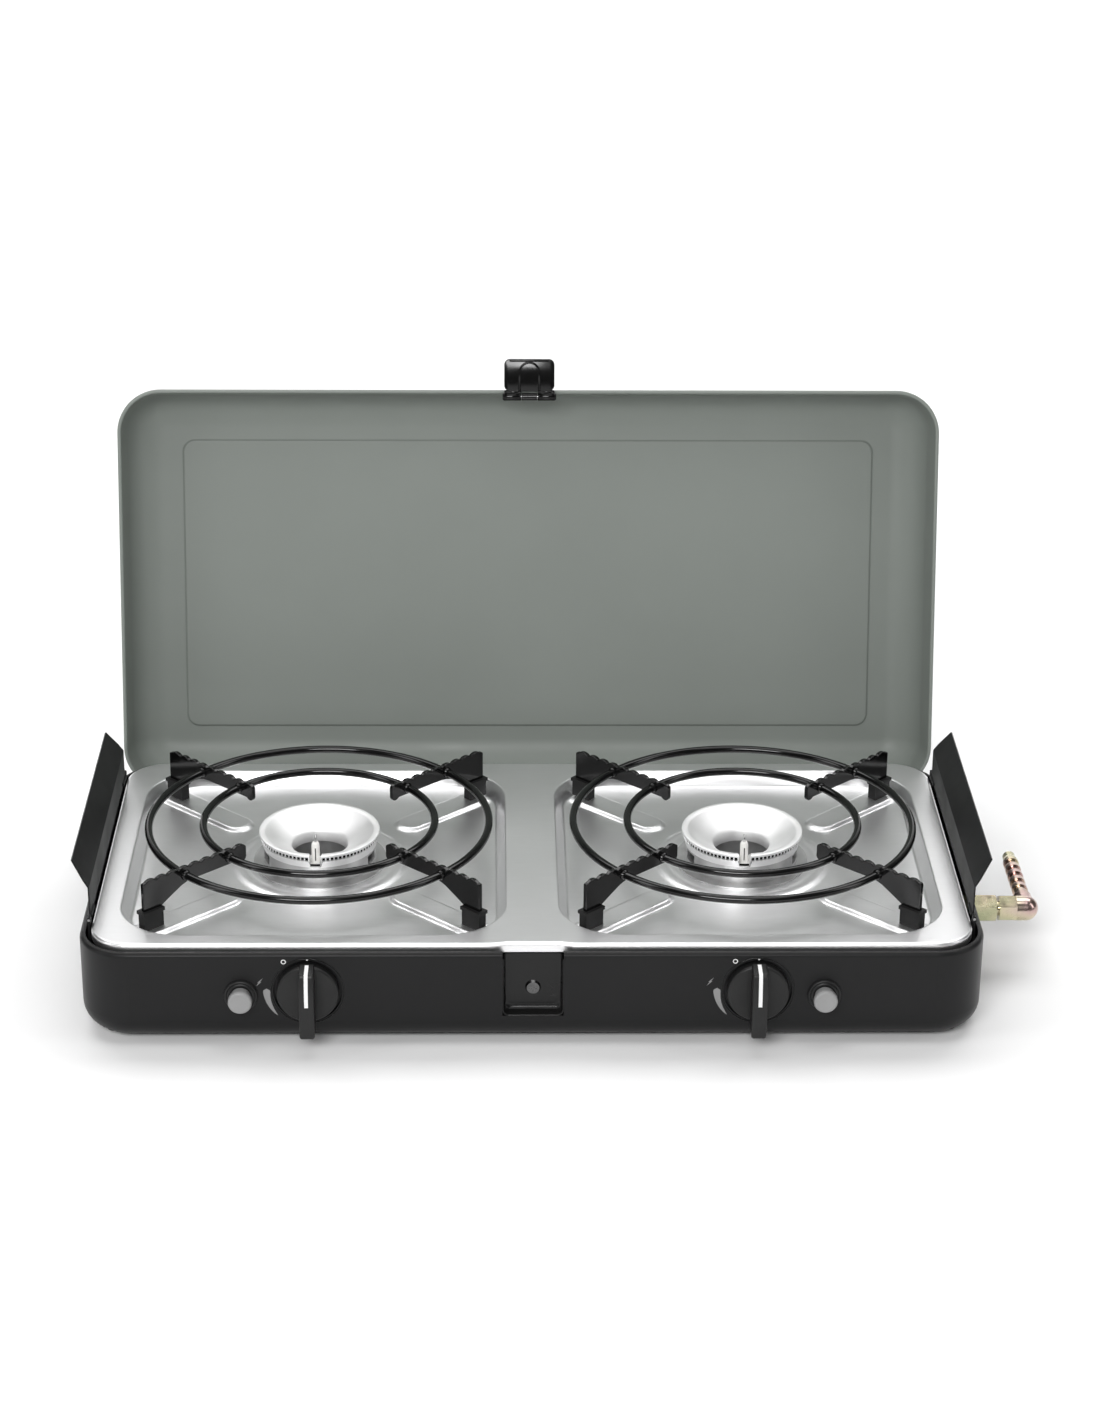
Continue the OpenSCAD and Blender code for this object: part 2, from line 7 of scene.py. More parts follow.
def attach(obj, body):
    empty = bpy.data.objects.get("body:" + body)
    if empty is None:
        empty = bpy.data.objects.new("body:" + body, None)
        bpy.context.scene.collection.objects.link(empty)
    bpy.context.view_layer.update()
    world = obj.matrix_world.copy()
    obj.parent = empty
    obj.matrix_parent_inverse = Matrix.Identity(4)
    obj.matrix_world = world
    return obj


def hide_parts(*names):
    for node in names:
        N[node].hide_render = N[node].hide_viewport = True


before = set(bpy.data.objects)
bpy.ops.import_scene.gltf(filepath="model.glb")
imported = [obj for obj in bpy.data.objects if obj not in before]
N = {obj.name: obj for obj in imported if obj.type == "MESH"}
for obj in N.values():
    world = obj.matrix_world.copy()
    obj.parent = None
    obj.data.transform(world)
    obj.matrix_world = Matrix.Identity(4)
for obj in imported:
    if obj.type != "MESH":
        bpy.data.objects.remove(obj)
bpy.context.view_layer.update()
MM = 0.001
OX, OY = 22.59, 45.45          # natural millimetres to the row frame


def W(x, y, z):
    """natural millimetres (middle of the base, table level) to the row frame in metres"""
    return Vector(((x - OX) * MM, (y - OY) * MM, z * MM))


# ---------------------------------------------------------------- materials
class Mat:
    def __init__(self, name):
        self.m = bpy.data.materials.new(name)
        self.m.use_nodes = True
        self.nt = self.m.node_tree
        self.b = self.nt.nodes["Principled BSDF"]
        self.tc = self.nt.nodes.new("ShaderNodeTexCoord")

    def node(self, kind, **kw):
        n = self.nt.nodes.new(kind)
        for k, v in kw.items():
            if k in n.inputs:
                n.inputs[k].default_value = v
            else:
                setattr(n, k, v)
        return n

    def link(self, a, b):
        self.nt.links.new(a, b)

    def coords(self, scale=(1, 1, 1), rot=(0, 0, 0), loc=(0, 0, 0)):
        mp = self.nt.nodes.new("ShaderNodeMapping")
        mp.inputs["Scale"].default_value = scale
        mp.inputs["Rotation"].default_value = rot
        mp.inputs["Location"].default_value = loc
        self.link(self.tc.outputs["Object"], mp.inputs["Vector"])
        return mp.outputs["Vector"]

    def noise(self, scale, detail=3.0, rough=0.5, vec=None, stretch=(1, 1, 1)):
        n = self.node("ShaderNodeTexNoise")
        n.inputs["Scale"].default_value = scale
        n.inputs["Detail"].default_value = detail
        n.inputs["Roughness"].default_value = rough
        self.link(vec if vec is not None else self.coords(stretch), n.inputs["Vector"])
        return n.outputs["Fac"]

    def ramp(self, fac, stops):
        r = self.node("ShaderNodeValToRGB")
        e = r.color_ramp.elements
        while len(e) < len(stops):
            e.new(0.5)
        for i, (p, c) in enumerate(stops):
            e[i].position = p
            e[i].color = (c, c, c, 1) if isinstance(c, (int, float)) else (*c, 1)
        self.link(fac, r.inputs["Fac"])
        return r.outputs["Color"]

    def remap(self, fac, a, b, lo=0.3, hi=0.7):
        r = self.node("ShaderNodeMapRange")
        r.inputs["From Min"].default_value = lo
        r.inputs["From Max"].default_value = hi
        r.inputs["To Min"].default_value = a
        r.inputs["To Max"].default_value = b
        self.link(fac, r.inputs["Value"])
        return r.outputs["Result"]

    def mul(self, a, b, op="MULTIPLY"):
        m = self.node("ShaderNodeMath")
        m.operation = op
        for i, v in enumerate((a, b)):
            if isinstance(v, (int, float)):
                m.inputs[i].default_value = v
            else:
                self.link(v, m.inputs[i])
        return m.outputs[0]

    def bump(self, height, strength, distance):
        b = self.node("ShaderNodeBump")
        b.inputs["Strength"].default_value = strength
        b.inputs["Distance"].default_value = distance
        self.link(height, b.inputs["Height"])
        self.link(b.outputs["Normal"], self.b.inputs["Normal"])

    def rough(self, out):
        self.link(out, self.b.inputs["Roughness"])

    def color(self, out):
        self.link(out, self.b.inputs["Base Color"])

    def set(self, **kw):
        for k, v in kw.items():
            self.b.inputs[k.replace("_", " ")].default_value = v


def paint(name, dark, light, r0, r1, grain=900, bump=0.00002, coat=0.0, ior=1.5, spec=0.5):
    m = Mat(name)
    m.set(Metallic=0.0, IOR=ior, Specular_IOR_Level=spec)
    if coat:
        m.set(Coat_Weight=coat, Coat_Roughness=0.08)
    m.color(m.ramp(m.noise(7, 4), [(0.3, dark), (0.7, light)]))
    m.rough(m.remap(m.noise(26, 4), r0, r1))
    m.bump(m.noise(grain, 2, 0.6), 0.25, bump)
    return m.m


def steel_brushed(name, centre=None):
    """brushed stainless sheet, the brush marks run along X, with faint handling haze"""
    m = Mat(name)
    m.set(Metallic=1.0)
    fine = m.noise(2600, 3, 0.6, m.coords((0.02, 1, 1)))
    broad = m.noise(9, 3, 0.5)
    m.color(m.ramp(fine, [(0.25, (0.86, 0.86, 0.865)), (0.75, (0.92, 0.92, 0.925))]))
    m.rough(m.mul(m.remap(fine, 0.33, 0.39), m.remap(broad, 0.96, 1.04)))
    m.bump(fine, 0.03, 0.000004)
    return m.m


def metal(name, a, b, r0, r1, scale=60, bump=0.00002, stretch=(1, 1, 1), bstr=0.2, grain=700):
    m = Mat(name)
    m.set(Metallic=1.0)
    m.color(m.ramp(m.noise(scale, 4, 0.5, m.coords(stretch)), [(0.3, a), (0.7, b)]))
    m.rough(m.remap(m.noise(scale * 1.7, 3, 0.5, m.coords(stretch)), r0, r1))
    m.bump(m.noise(grain, 3, 0.6, m.coords(stretch)), bstr, bump)
    return m.m


def zinc(name):
    """yellow chromated zinc: straw, pink and green patches that run into each other"""
    m = Mat(name)
    m.set(Metallic=1.0)
    n = m.noise(42, 2, 0.4)
    r = m.node("ShaderNodeValToRGB")
    e = r.color_ramp.elements
    stops = [(0.28, (0.42, 0.43, 0.27)), (0.40, (0.60, 0.54, 0.37)), (0.50, (0.63, 0.53, 0.42)),
             (0.60, (0.56, 0.40, 0.38)), (0.72, (0.50, 0.40, 0.30))]
    while len(e) < len(stops):
        e.new(0.5)
    for i, (p, c) in enumerate(stops):
        e[i].position = p
        e[i].color = (*c, 1)
    m.link(n, r.inputs["Fac"])
    m.color(r.outputs["Color"])
    m.rough(m.remap(m.noise(180, 3), 0.16, 0.30))
    m.bump(m.noise(900, 3), 0.15, 0.00002)
    return m.m


def plastic(name, a, b, r0, r1, grain=1500, bump=0.00003, bstr=0.35, spec=0.5):
    m = Mat(name)
    m.set(IOR=1.46, Specular_IOR_Level=spec)
    m.color(m.ramp(m.noise(40, 3), [(0.3, a), (0.7, b)]))
    m.rough(m.remap(m.noise(70, 3), r0, r1))
    m.bump(m.noise(grain, 2), bstr, bump)
    return m.m


def g(v):
    return (v, v, v)


M = {
    "base": paint("satin_black_enamel", (0.0085, 0.0085, 0.0088), (0.0108, 0.0108, 0.0112), 0.36, 0.44, 1100, spec=0.2),
    "shield": paint("satin_black_paint", (0.009, 0.009, 0.0093), (0.0125, 0.0125, 0.013), 0.36, 0.46, 800, spec=0.2),
    "sage": paint("sage_paint", (0.198, 0.217, 0.199), (0.212, 0.232, 0.213), 0.40, 0.50, 1000, spec=0.35),
    "enamel": paint("gloss_enamel", (0.0022, 0.0022, 0.0022), (0.004, 0.004, 0.004), 0.08, 0.16, 260, 0.00003, spec=0.42),
    "hob": steel_brushed("brushed_stainless"),
    "alu": metal("cast_aluminium", g(0.80), g(0.88), 0.50, 0.60, 40),
    "alu_dark": metal("cast_aluminium_inner", g(0.50), g(0.62), 0.36, 0.5, 60),
    "zinc_grey": metal("grey_zinc", g(0.42), g(0.55), 0.22, 0.36, 90),
    "gun": metal("dark_zinc", g(0.10), g(0.16), 0.16, 0.26, 90),
    "yellow": zinc("yellow_zinc"),
    "brass": metal("brass", (0.62, 0.44, 0.19), (0.72, 0.52, 0.24), 0.25, 0.38, 80),
    "knob": plastic("black_plastic", g(0.0105), g(0.0135), 0.34, 0.44, spec=0.35),
    "gloss": plastic("gloss_black_plastic", g(0.002), g(0.004), 0.12, 0.2, 500, 0.00002, 0.12, spec=0.4),
    "button": plastic("grey_plastic", g(0.255), g(0.30), 0.32, 0.42),
    "white": plastic("white_mark", g(0.78), g(0.84), 0.42, 0.5),
    # pocket lining: the base's black enamel made a little darker, painted shade of the recess
    "lining": paint("black_enamel_pocket_shade", g(0.006), g(0.008), 0.22, 0.3, 700, spec=0.3),
    # painted shade: a dark stand-in for the shade inside the burner ports and the electrode's slot
    "painted_shade": plastic("port_shadow", g(0.004), g(0.012), 0.8, 0.9, 900, 0.00002, 0.2, spec=0.1),
    "rubber": plastic("black_rubber", g(0.006), g(0.011), 0.42, 0.56, 900, 0.00004, 0.4, spec=0.32),
    "ceramic": plastic("white_ceramic", (0.78, 0.77, 0.74), (0.86, 0.85, 0.82), 0.14, 0.24, 300, 0.00001, 0.1),
    "mark": plastic("grey_mark", g(0.22), g(0.26), 0.4, 0.5),
}
NODE_MAT = {
    "base_shell": "base", "hob_plate": "hob", "hob_wall_left": "hob", "hob_wall_right": "hob",
    "hob_floor_left": "hob", "hob_floor_right": "hob", "feet": "rubber", "foot_screws": "zinc_grey", "burner_head_left": "alu",
    "burner_head_right": "alu", "burner_body_left": "alu_dark", "burner_body_right": "alu_dark", "burner_screws": "zinc_grey",
    "venturi_tubes": "alu_dark", "injectors": "brass", "valve_bodies": "brass", "valve_stem_left": "zinc_grey",
    "valve_stem_right": "zinc_grey", "gas_pipe": "zinc_grey", "inlet_block": "brass", "inlet_stub": "yellow",
    "inlet_nut": "yellow", "hose_elbow": "yellow", "piezo_bodies": "knob", "piezo_bezels": "knob", "piezo_nuts": "knob",
    "piezo_button_left": "button", "piezo_button_right": "button", "electrode_ceramics": "ceramic",
    "electrode_tips": "zinc_grey", "ignition_leads": "rubber", "catch_screw": "gun", "catch_washer": "gun",
    "hinge_brackets": "shield", "hinge_pins": "zinc_grey", "shield_brackets": "shield", "shield_pins": "zinc_grey",
    "windshield_left": "shield", "windshield_right": "shield", "support_rings_left": "enamel",
    "support_rings_right": "enamel", "support_arms_left": "enamel", "support_arms_right": "enamel",
    "support_boots_left": "rubber", "support_boots_right": "rubber", "knob_left": "knob", "knob_right": "knob",
    "pointer_left": "white", "pointer_right": "white", "lid": "sage", "latch_lug": "gloss", "latch_pin": "zinc_grey",
    "latch": "gloss", "hinge_arms": "zinc_grey", "hinge_rivets": "zinc_grey"}


def set_mat(o, mat):
    o.data.materials.clear()
    o.data.materials.append(mat)


for name, o in N.items():
    set_mat(o, M[NODE_MAT[name]])


def soften(name, width, seg=2, angle=35):
    """a small bevel on a carried-over node, so that its edges catch the light"""
    o = N[name]
    w = o.modifiers.new("weld", "WELD")
    w.merge_threshold = 2e-6
    b = o.modifiers.new("bevel", "BEVEL")
    b.width = width * MM
    b.segments = seg
    b.limit_method = "ANGLE"
    b.angle_limit = math.radians(angle)
    b.use_clamp_overlap = True
    b.harden_normals = False
    o.modifiers.new("wn", "WEIGHTED_NORMAL").keep_sharp = False


for nm, wd in (("support_boots_left", 0.5), ("support_boots_right", 0.5), ("latch", 0.35), ("windshield_left", 0.2),
               ("windshield_right", 0.2), ("inlet_nut", 0.25), ("feet", 0.3), ("shield_brackets", 0.25), ("latch_lug", 0.3)):
    soften(nm, wd)


# ---------------------------------------------------------------- mesh helpers
def make(name, verts, faces, mat, body, smooth=True, rep=(), sharp=None):
    me = bpy.data.meshes.new(name)
    me.from_pydata([tuple(v) for v in verts], [], faces)
    me.validate()
    bm = bmesh.new()
    bm.from_mesh(me)
    bmesh.ops.remove_doubles(bm, verts=bm.verts, dist=1e-7)
    bmesh.ops.recalc_face_normals(bm, faces=bm.faces)
    bm.to_mesh(me)
    bm.free()
    for p in me.polygons:
        p.use_smooth = smooth
    o = bpy.data.objects.new(name, me)
    bpy.context.scene.collection.objects.link(o)
    me.materials.append(M[mat])
    if sharp:
        me.set_sharp_from_angle(angle=math.radians(sharp))
    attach(o, body)
    if rep:
        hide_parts(*rep)
    return o


def weighted(o):
    w = o.modifiers.new("wn", "WEIGHTED_NORMAL")
    w.keep_sharp = True
    w.weight = 80
    return o


def rr_loop(hx, hy, r, seg=24, nx=1, ny=1):
    """points of a rounded rectangle, anticlockwise from the middle of the +X side's top; same count for every size"""
    pts = []
    r = min(r, hx, hy)
    cs = [(hx - r, hy - r, 0), (-(hx - r), hy - r, 90), (-(hx - r), -(hy - r), 180), (hx - r, -(hy - r), 270)]
    for i, (cx, cy, a0) in enumerate(cs):
        for k in range(seg + 1):
            a = math.radians(a0 + 90 * k / seg)
            pts.append((cx + r * math.cos(a), cy + r * math.sin(a)))
        # straight run to the next corner
        nxt = cs[(i + 1) % 4]
        n = nx if i in (0, 2) else ny
        a1 = math.radians(a0 + 90)
        p = (cx + r * math.cos(a1), cy + r * math.sin(a1))
        q = (nxt[0] + r * math.cos(a1), nxt[1] + r * math.sin(a1))
        for k in range(1, n):
            t = k / n
            pts.append((p[0] + (q[0] - p[0]) * t, p[1] + (q[1] - p[1]) * t))
    return pts


def loft(loops, close=True):
    """faces between successive loops with the same number of points"""
    n = len(loops[0])
    verts = [v for lp in loops for v in lp]
    faces = []
    for i in range(len(loops) - 1):
        for k in range(n):
            a, b = i * n + k, i * n + (k + 1) % n
            faces.append((a, b, b + n, a + n))
    if close:
        m = (len(loops) - 1) * n
        for k in range(n):
            a, b = m + k, m + (k + 1) % n
            faces.append((a, b, (k + 1) % n, k))
    return verts, faces


def arc(cx, cy, r, a0, a1, n):
    return [(cx + r * math.cos(math.radians(a0 + (a1 - a0) * i / n)), cy + r * math.sin(math.radians(a0 + (a1 - a0) * i / n))) for i in range(n + 1)]


def smooth(t):
    t = max(0.0, min(1.0, t))
    return t * t * (3 - 2 * t)


# ---------------------------------------------------------------- lid
def lid_frame(p):
    """closed-lid natural millimetres to the opened place"""
    a = math.radians(-104)
    y, z = p[1] - 140.25, p[2] - 59.2
    return W(p[0], 140.25 + y * math.cos(a) - z * math.sin(a), 59.2 + y * math.sin(a) + z * math.cos(a))


def build_lid():
    top = 21 - 27 * math.sin(math.radians(7)) + 27
    sn, cs = math.sin(math.radians(7)), math.cos(math.radians(7))
    dx = (21 - 1.4) * sn / cs
    cx, cy = 1.4 + dx + 27 * cs, 21 - 27 * sn    # inset from the outer edge, height
    t = 1.2
    # (inset, height): inside of the sheet from the emboss outwards, round the bead, then the outside back
    ex, ey = 299 - 254.5, 148 - 106.5            # inset of the embossed panel's edge
    prof = []
    inner = []
    # outer surface, from the bead up the wall, round the fillet, over the top
    out = [(1.4 + dx * k / 6, 1.4 + (21 - 1.4) * k / 6) for k in range(7)]
    out += [(cx - 27 * math.cos(math.radians(a)), cy + 27 * math.sin(math.radians(a))) for a in [7 + 83 * k / 16 for k in range(1, 17)]]
    inn = [(x + t * cs, y - t * sn) for x, y in out[:7]]
    inn[0] = (1.4 + t / cs, 1.4)
    inn += [(cx - 25.8 * math.cos(math.radians(a)), cy + 25.8 * math.sin(math.radians(a))) for a in [7 + 83 * k / 16 for k in range(1, 17)]]
    bead = arc(1.4, 1.4, 1.4, 60, 300, 16)       # round the outer side and underneath
    bead = [(1.4 + 1.4 * math.cos(math.radians(a)), 1.4 + 1.4 * math.sin(math.radians(a))) for a in [95 + 240 * k / 18 for k in range(19)]]
    prof = out[::-1] + bead + inn
    loops = []
    for ins, h in prof:
        r = 32 - ins
        loops.append([lid_frame((x, y + 2, 70.4 + h)) for x, y in rr_loop(299 - ins, 148 - ins, max(r, 1.5), 24, 12, 6)])
    # flat floor and embossed panel, inside and outside, as offset loops of the panel
    def panel(off, h):
        return [lid_frame((x, y + 2, 70.4 + h)) for x, y in rr_loop(254.5 + off, 106.5 + off, max(8 + off, 1.5), 24, 12, 6)]
    steps = [(1.9, 0.0), (1.5, -0.07), (1.15, -0.28), (0.85, -0.6), (0.5, -0.94), (0.15, -1.14), (-0.3, -1.2), (-3.0, -1.2)]
    for off, dh in steps:
        loops.append(panel(off, top - t + dh))
    n_in = len(loops)
    # the middle of the panel, inside then outside
    for k in (0.6, 0.25, 0.02):
        loops.append([lid_frame((x * k, y * k + 2, 70.4 + top - t - 1.2)) for x, y in rr_loop(251.5, 103.5, 5, 24, 12, 6)])
    for k in (0.02, 0.25, 0.6):
        loops.append([lid_frame((x * k, y * k + 2, 70.4 + top - 1.2)) for x, y in rr_loop(251.5, 103.5, 5, 24, 12, 6)])
    for off, dh in steps[::-1]:
        loops.append(panel(off - 1.2, top + dh))
    v, f = loft(loops)
    # caps in the middle of the panel are tiny and flat: fill them
    n = len(loops[0])
    ia = (n_in + 2) * n
    # remove the faces that joined the inside to the outside there
    f = [q for q in f if not (min(q) // n == n_in + 2 and max(q) // n == n_in + 3)]
    f.append(tuple(ia + k for k in range(n)))
    f.append(tuple(ia + n + k for k in range(n))[::-1])
    o = make("lid_shell", v, f, "sage", "lid", rep=("lid",))
    weighted(o)
    return o


build_lid()


# ---------------------------------------------------------------- hob
HX, HY, HR = 292, 138.7, 27
WX, WY, WR = 129.7, 125.9, 44
HZ, FZ = 73.8, 63.8
CX = 146.5
PHI = math.radians(42.7)


def rib(x, y):
    """height of the pressed ribs at a place relative to the burner, in millimetres"""
    ax, ay = abs(x), abs(y)
    u = ax * math.cos(PHI) + ay * math.sin(PHI)
    v = -ax * math.sin(PHI) + ay * math.cos(PHI)
    d = math.hypot(min(0.0, u - 84), v) if u < 84 else abs(v)
    return 2.2 * smooth((11.6 - d) / 2.8)


def seat(r):
    """raised round seat about the burner with a groove line on it"""
    return 1.2 * smooth((60.6 - r) / 2.4) - 0.35 * math.exp(-((r - 52.5) / 0.9) ** 2)


def well_loops(s, under):
    """loops from the flat top down the well wall and over the floor to the burner hole"""
    t = 1.0 if under else 0.0
    seg, nx, ny = 40, 44, 40
    out = []
    top = [(0.0, HZ)]
    rt = 1.6
    prof = [(-0.6, HZ)]
    # rounded lip, slope, rounded foot (inset, z)
    prof += [(rt * math.sin(math.radians(a)) , HZ - rt * (1 - math.cos(math.radians(a)))) for a in (8, 18, 29, 40, 50, 57)]
    x0, z0 = prof[-1]
    rf = 2.4
    fx, fz = 7.4 + 1.0, FZ
    foot = [(fx - rf * math.sin(math.radians(a)), FZ + rf * (1 - math.cos(math.radians(a)))) for a in (57, 46, 34, 22, 10, 0)]
    x1, z1 = foot[0]
    for k in (0.25, 0.5, 0.75):
        prof.append((x0 + (x1 - x0) * k, z0 + (z1 - z0) * k))
    prof += foot
    for ins, z in prof:
        lp = rr_loop(WX - ins, WY - ins, WR - ins, seg, nx, ny)
        if z > FZ + 0.01 and False:
            pass
        out.append([W(s * CX + x, y, z - t) for x, y in lp])
    # floor: morph from the rounded rectangle to the round hole
    base = rr_loop(WX - fx, WY - fx, WR - fx, seg, nx, ny)
    rs = []
    NR = 64
    # radial samples, evenly spaced
    for k in range(1, NR + 1):
        rs.append(k / NR)
    for q in rs:
        lp = []
        for x, y in base:
            L = math.hypot(x, y)
            r_in = 40.3
            r = L + (r_in - L) * q
            ux, uy = x / L, y / L
            px, py = ux * r, uy * r
            h = max(rib(px, py), seat(r))
            # the ribs run out into the wall's foot
            e = L - r
            h *= smooth(0.35 + e / 6)
            lp.append(W(s * CX + px, py, FZ + h - t))
        out.append(lp)
    return out


def build_hob():
    verts, faces = [], []

    def add(loops, flip=False):
        v, f = loft(loops, close=False)
        b = len(verts)
        verts.extend(v)
        for q in f:
            faces.append(tuple(b + i for i in (q[::-1] if flip else q)))
        return b, len(loops[0]), len(loops)

    for s in (-1, 1):
        for under in (False, True):
            add(well_loops(s, under))
        # joins the two skins at the burner hole
        a = well_loops(s, False)[-1]
        b = well_loops(s, True)[-1]
        add([a, b])

    # outer edge: flat, rounded shoulder, flange, rolled lower edge, and back up on the inside
    def edge(ins, z):
        lp = rr_loop(HX - ins, HY - ins, max(HR - ins, 1), 24, 60, 24)
        out = []
        for x, y in lp:
            # the front edge steps back over the latch pocket
            if y < -100:
                k = smooth((26.5 - abs(x)) / 3.6)
                y = y + 2.0 * k
            out.append(W(x, y, z))
        return out
    pr = [(2.8, HZ)]
    pr += [(2.2 - 2.2 * math.sin(math.radians(a)), HZ - 2.2 * (1 - math.cos(math.radians(a)))) for a in (6, 16, 28, 42, 56, 70, 82, 90)]
    pr += [(0, 70), (0, 67.4), (0.1, 66.9), (0.5, 66.6), (0.9, 66.9), (1.0, 67.4), (1.0, 71.6)]
    pr += [(2.2 - 1.2 * math.sin(math.radians(a)), HZ - 2.2 + 1.2 * math.cos(math.radians(a))) for a in (90, 70, 50, 30, 12)]
    pr += [(2.8, HZ - 1.0)]
    lo = [edge(i, z) for i, z in pr]
    add(lo)
    top_out, bot_out = lo[0], lo[-1]
    # flat top between the outer edge and the wells, above and below
    for z, outer in ((HZ, top_out), (HZ - 1.0, bot_out)):
        bm = bmesh.new()
        def ring(pts):
            vs = [bm.verts.new(p) for p in pts]
            for i in range(len(vs)):
                bm.edges.new((vs[i], vs[(i + 1) % len(vs)]))
        ring(outer)
        for s in (-1, 1):
            ring([W(s * CX + x, y, z) for x, y in rr_loop(WX + 0.6, WY + 0.6, WR + 0.6, 40, 44, 40)])
        bmesh.ops.triangle_fill(bm, use_beauty=True, use_dissolve=False, edges=bm.edges[:])
        bm.verts.index_update()
        b = len(verts)
        verts.extend([v.co.copy() for v in bm.verts])
        for fc in bm.faces:
            faces.append(tuple(b + v.index for v in fc.verts))
        bm.free()
    o = make("hob_sheet", verts, faces, "hob", "base", rep=("hob_plate", "hob_wall_left", "hob_wall_right", "hob_floor_left", "hob_floor_right"))
    weighted(o)
    return o


build_hob()


# ---------------------------------------------------------------- burners
def lathe(prof, cx, cy, n=160, jag=None):
    loops = []
    for i, (r, z) in enumerate(prof):
        loops.append([W(cx + r * math.cos(2 * math.pi * k / n), cy + r * math.sin(2 * math.pi * k / n), z) for k in range(n)])
    return loops


def build_burner(side, s):
    cx = s * CX
    # bowl, flat lip, ports, skirt: one closed profile
    prof = [(19.4, 70), (19.4, 77.2), (19.9, 78.0), (21.4, 78.9), (30, 84.2), (36.6, 88.2), (37.3, 88.75), (38.2, 89.0),
            (39.6, 89.15), (41.1, 89.15), (41.6, 88.95), (41.8, 88.6), (41.8, 87.8), (41.5, 87.35)]
    n = 4 * 88
    ports_hi, ports_lo = 87.2, 84.9
    body = [(41.0, ports_hi), (41.0, ports_lo), (41.1, 84.6), (40.6, 84.2), (39.6, 83.9), (39.4, 79.1), (39.0, 79.0), (37.0, 79.0), (37.0, 84.0),
            (22, 76.5), (22, 70)]
    prof += body
    loops = lathe(prof, cx, 0, n)
    # ports: every second group of two columns steps in
    ih = prof.index((41.0, ports_hi))
    il = prof.index((41.0, ports_lo))
    for k in range(n):
        if (k // 2) % 2:
            a = 2 * math.pi * k / n
            for i in (ih, il):
                r = 38.6
                loops[i][k] = W(cx + r * math.cos(a), r * math.sin(a), prof[i][1])
    # the lip and the bowl are cut down where the electrode passes
    for i, (r, z) in enumerate(prof):
        for k in range(n):
            a = 2 * math.pi * k / n
            off = abs(r * math.cos(a) + 1.0)
            if math.sin(a) < 0 and r > 29 and off < 3.9 and z > 80.6:
                loops[i][k] = loops[i][k] + Vector((0, 0, (80.6 + (z - 80.6) * 0.04 - z) * MM))
    v, f = loft(loops)
    o = make("burner_crown_" + side, v, f, "alu", "base", rep=("burner_head_" + side,), sharp=38)
    # dark ring of painted shade seen through the ports
    ring = [(39.9, 85.1), (40.55, 85.1), (40.55, 87.05), (39.9, 87.05)]
    lp = lathe(ring, cx, 0, 176)
    for row in lp:
        for k in range(176):
            a = 2 * math.pi * k / 176
            if math.sin(a) < 0 and abs(40.2 * math.cos(a) + 1.0) < 4.6:
                row[k] = row[k] + Vector((0, 0, -4.9 * MM))
    v, f = loft(lp)
    make("burner_port_shade_" + side, v, f, "painted_shade", "base")
    return o


build_burner("left", -1)
build_burner("right", 1)


def build_electrode(side, s):
    """ceramic with a collar and a bore for the wire; the bent wire tip and the slot, a dark line of painted shade, are
    drawn after it
    """
    cx = s * CX - 1
    prof = [(0.9, 56), (2.6, 56.2), (2.8, 57), (2.8, 80), (3.1, 80.4), (3.1, 82.6), (2.8, 83), (2.8, 92.6), (2.55, 94.4),
            (1.9, 95.7), (0.9, 96.0), (0.9, 90)]
    v, f = loft(lathe(prof, cx, -33, 40))
    o = make("electrode_" + side, v, f, "ceramic", "base")
    return o


el = build_electrode("left", -1)
er = build_electrode("right", 1)
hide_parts("electrode_ceramics")


def tube(name, pts, r, mat, body, n=14, rep=(), taper=None):
    """a round bar along points, with flat end caps"""
    P = [Vector(p) for p in pts]
    loops = []
    up = Vector((0, 0, 1))
    for i, p in enumerate(P):
        d = (P[min(i + 1, len(P) - 1)] - P[max(i - 1, 0)]).normalized()
        u = d.cross(Vector((1, 0, 0)))
        if u.length < 0.1:
            u = d.cross(Vector((0, 1, 0)))
        u.normalize()
        w = d.cross(u)
        rr = r if taper is None else r * taper[i]
        loops.append([p + (u * math.cos(2 * math.pi * k / n) + w * math.sin(2 * math.pi * k / n)) * rr * MM for k in range(n)])
    v, f = loft(loops, close=False)
    f.append(tuple(range(n))[::-1])
    m = (len(loops) - 1) * n
    f.append(tuple(m + k for k in range(n)))
    return make(name, v, f, mat, body, rep=rep)


for side, s in (("left", -1), ("right", 1)):
    x = s * CX - 1
    t = tube("electrode_wire_" + side, [W(x, -33, 90), W(x, -33, 96.5), W(x, -32.9, 98), W(x, -32.4, 99.4), W(x, -31.4, 100.5)],
             0.8, "zinc_grey", "base", taper=[1, 1, 1, 0.95, 0.7])
    if side == "left":
        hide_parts("electrode_tips")


# ---------------------------------------------------------------- pan support rings
def torus(name, cx, R, r, z, mat, body, n=240, m=24, rep=()):
    loops = []
    for k in range(n):
        a = 2 * math.pi * k / n
        loops.append([W(cx + (R + r * math.cos(2 * math.pi * j / m)) * math.cos(a), (R + r * math.cos(2 * math.pi * j / m)) * math.sin(a),
                        z + r * math.sin(2 * math.pi * j / m)) for j in range(m)])
    v, f = loft(loops, close=True)
    return make(name, v, f, mat, body, rep=rep)


for side, s in (("left", -1), ("right", 1)):
    torus("ring_outer_" + side, s * CX, 117.3, 2.75, 95, "enamel", "support_" + side, rep=("support_rings_" + side,))
    torus("ring_inner_" + side, s * CX, 79.8, 2.75, 95, "enamel", "support_" + side)


